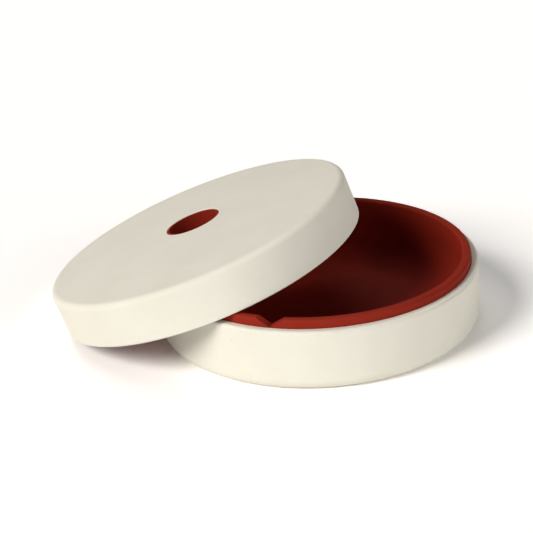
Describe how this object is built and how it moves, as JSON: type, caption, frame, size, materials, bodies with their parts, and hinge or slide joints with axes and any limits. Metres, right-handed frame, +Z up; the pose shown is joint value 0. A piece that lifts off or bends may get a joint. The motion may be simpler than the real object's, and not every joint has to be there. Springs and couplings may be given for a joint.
{
  "type": "ink stick and stone box",
  "caption": "Low round box: pale dish with a red notched bowl inside, and a crowned red-lined lid with a finger hole, leaning off the dish.",
  "frame": {"origin": "middle of the dish's flat foot, on the surface it stands on", "axes": "+Z up along the dish's axis; -Y is the front; the lid leans off towards -X and a little towards +Y"},
  "size_m": [0.2009, 0.1634, 0.0667],
  "materials": {
    "pale": "satin",
    "red": "satin"
  },
  "bodies": {
    "dish": {"base_shell": "pale", "base_liner": "red"},
    "lid": {"lid_shell": "pale", "lid_liner": "red"}
  },
  "joints": [
    {"name": "lid_lift", "type": "slide", "parent": "dish", "child": "lid", "axis": [0, 0, 1], "range_m": [0, 0.05]}
  ]
}
